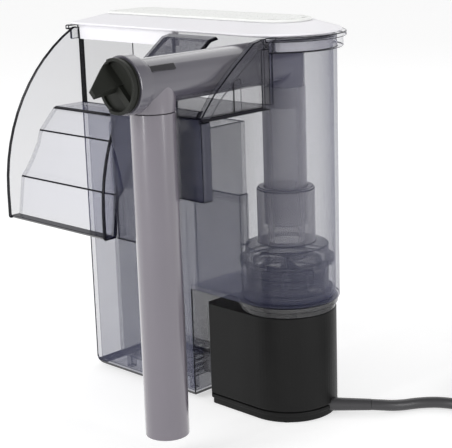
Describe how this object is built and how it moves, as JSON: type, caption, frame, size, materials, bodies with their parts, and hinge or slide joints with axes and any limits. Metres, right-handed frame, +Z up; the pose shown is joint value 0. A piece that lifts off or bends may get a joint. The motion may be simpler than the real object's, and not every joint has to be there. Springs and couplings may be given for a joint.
{
  "type": "hang-on waterfall pond and aquarium filter",
  "caption": "Clear-cased hang-on aquarium filter with an intake tube, flow knob, stepped spillway, white lift-off lid and black pump under the round end.",
  "frame": {"origin": "on the pump axis, in the plane of the motor's flat base, which is the surface the filter stands on", "axes": "+Z up along the pump axis; -Y towards the tank, where the intake tube and spillway are; +X along the case towards the pump end"},
  "size_m": [0.2847, 0.2884, 0.212],
  "materials": {
    "clear_case": "clear smoky moulded plastic, polished",
    "lid_white": "fine satin moulded plastic",
    "tube_grey": "translucent grey-mauve extruded plastic",
    "knob_black": "satin moulded plastic",
    "motor_black": "fine-textured satin moulded plastic",
    "seal_rubber": "soft black rubber",
    "rotor_grey": "moulded plastic",
    "magnet": "coated ferrite",
    "shaft_ceramic": "polished ceramic",
    "steel": "plated steel",
    "copper": "enamelled copper winding",
    "lead_black": "smooth matt flexible sheath",
    "pin_metal": "plated brass"
  },
  "bodies": {
    "filter": {"case": "clear_case", "case_rim": "clear_case", "spillway": "clear_case", "guard_left": "clear_case", "guard_right": "clear_case", "hood": "clear_case", "hook_end": "clear_case", "hook_floor": "clear_case", "hook_plate": "clear_case", "cross_tube": "tube_grey", "riser_tube": "tube_grey", "riser_socket": "tube_grey", "impeller_cover": "tube_grey", "rotor_shaft": "shaft_ceramic", "bush_top": "tube_grey", "bush_bottom": "seal_rubber", "pump_seal": "seal_rubber", "pump_collar": "clear_case", "motor_housing": "motor_black", "motor_base": "motor_black", "motor_core": "steel", "motor_coil": "copper", "base_screw_1": "steel", "base_screw_2": "steel", "base_screw_3": "steel", "base_screw_4": "steel", "motor_clip": "clear_case", "media_basket": "clear_case", "basket_grip": "clear_case", "baffle": "clear_case", "strain_relief": "lead_black", "lead_run": "lead_black", "lead_coil": "lead_black", "lead_tail": "lead_black", "coil_tie": "seal_rubber", "plug_body": "lead_black", "plug_pin_1": "pin_metal", "plug_pin_2": "pin_metal"},
    "lid": {"lid": "lid_white", "lid_panel": "lid_white"},
    "valve": {"flow_knob": "knob_black", "knob_seal": "seal_rubber", "valve_barrel": "tube_grey"},
    "intake": {"intake_tube": "tube_grey"},
    "rotor": {"impeller": "rotor_grey", "rotor_magnet": "magnet"}
  },
  "joints": [
    {"name": "lid_lift", "type": "slide", "parent": "filter", "child": "lid", "axis": [0, 0, 1], "range_m": [0, 0.06]},
    {"name": "flow_knob_turn", "type": "hinge", "parent": "filter", "child": "valve", "pos_m": [0, -0.1, 0.1903], "axis": [0, 1, 0], "range_deg": [0, 90]},
    {"name": "intake_pull", "type": "slide", "parent": "filter", "child": "intake", "axis": [0, 0, -1], "range_m": [0, 0.013]},
    {"name": "rotor_spin", "type": "hinge", "parent": "filter", "child": "rotor", "pos_m": [0, 0, 0.04], "axis": [0, 0, 1], "continuous": true}
  ]
}
